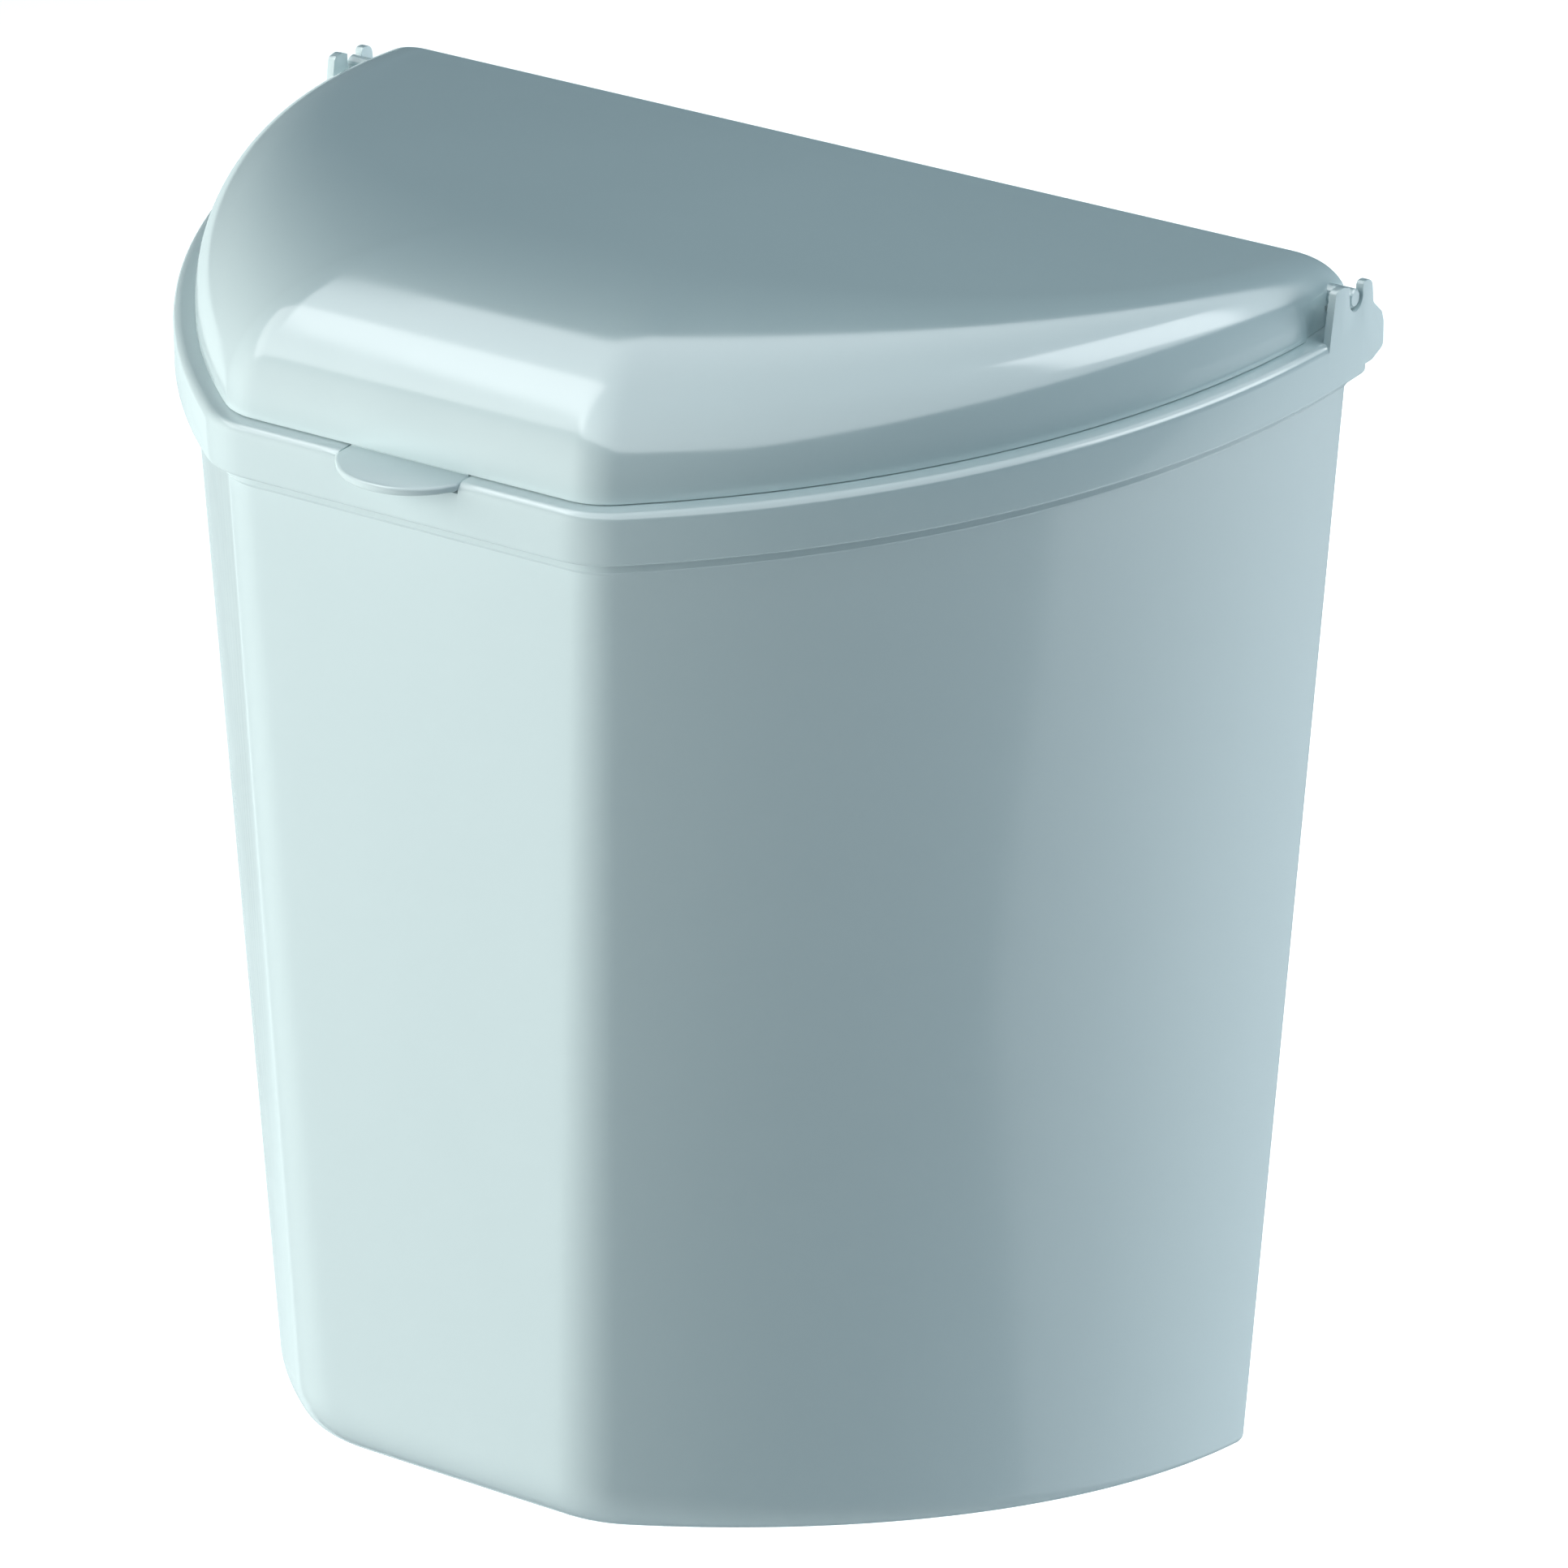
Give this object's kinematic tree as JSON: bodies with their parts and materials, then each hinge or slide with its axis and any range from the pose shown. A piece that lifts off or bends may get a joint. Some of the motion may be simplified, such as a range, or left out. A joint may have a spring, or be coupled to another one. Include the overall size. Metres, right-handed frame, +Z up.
{
  "type": "wall-hung waste bin",
  "caption": "Half-round plastic waste bin with a hinged domed lid, a clip-on rim collar and a screw-on wall rail that it lifts off.",
  "frame": {"origin": "middle of the wall rail's back face, level with its screws", "axes": "+Z up, +Y into the wall, the bin and its finger tab face -Y"},
  "size_m": [0.27, 0.1973, 0.3139],
  "materials": {
    "bin_plastic": "satin gloss",
    "rail_plastic": "satin",
    "screw_steel": "plated",
    "rubber": "matt"
  },
  "bodies": {
    "rail": {"wall_rail": "rail_plastic", "rail_screw_1": "screw_steel", "rail_screw_2": "screw_steel", "rail_screw_3": "screw_steel", "rail_screw_4": "screw_steel"},
    "collar": {"rim_collar": "bin_plastic"},
    "tub": {"tub": "bin_plastic", "wall_spacer_left": "rubber", "wall_spacer_right": "rubber"},
    "lid": {"lid": "bin_plastic", "hinge_pin_left": "bin_plastic", "hinge_pin_right": "bin_plastic"}
  },
  "joints": [
    {"name": "lift_off", "type": "slide", "parent": "rail", "child": "collar", "axis": [0, 0, 1], "range_m": [0, 0.05]},
    {"name": "tub_unclip", "type": "slide", "parent": "collar", "child": "tub", "axis": [0, 0, -1], "range_m": [0, 0.06]},
    {"name": "lid_hinge", "type": "hinge", "parent": "collar", "child": "lid", "pos_m": [0, -0.01385, 0.0126], "axis": [-1, 0, 0], "range_deg": [0, 80]}
  ]
}
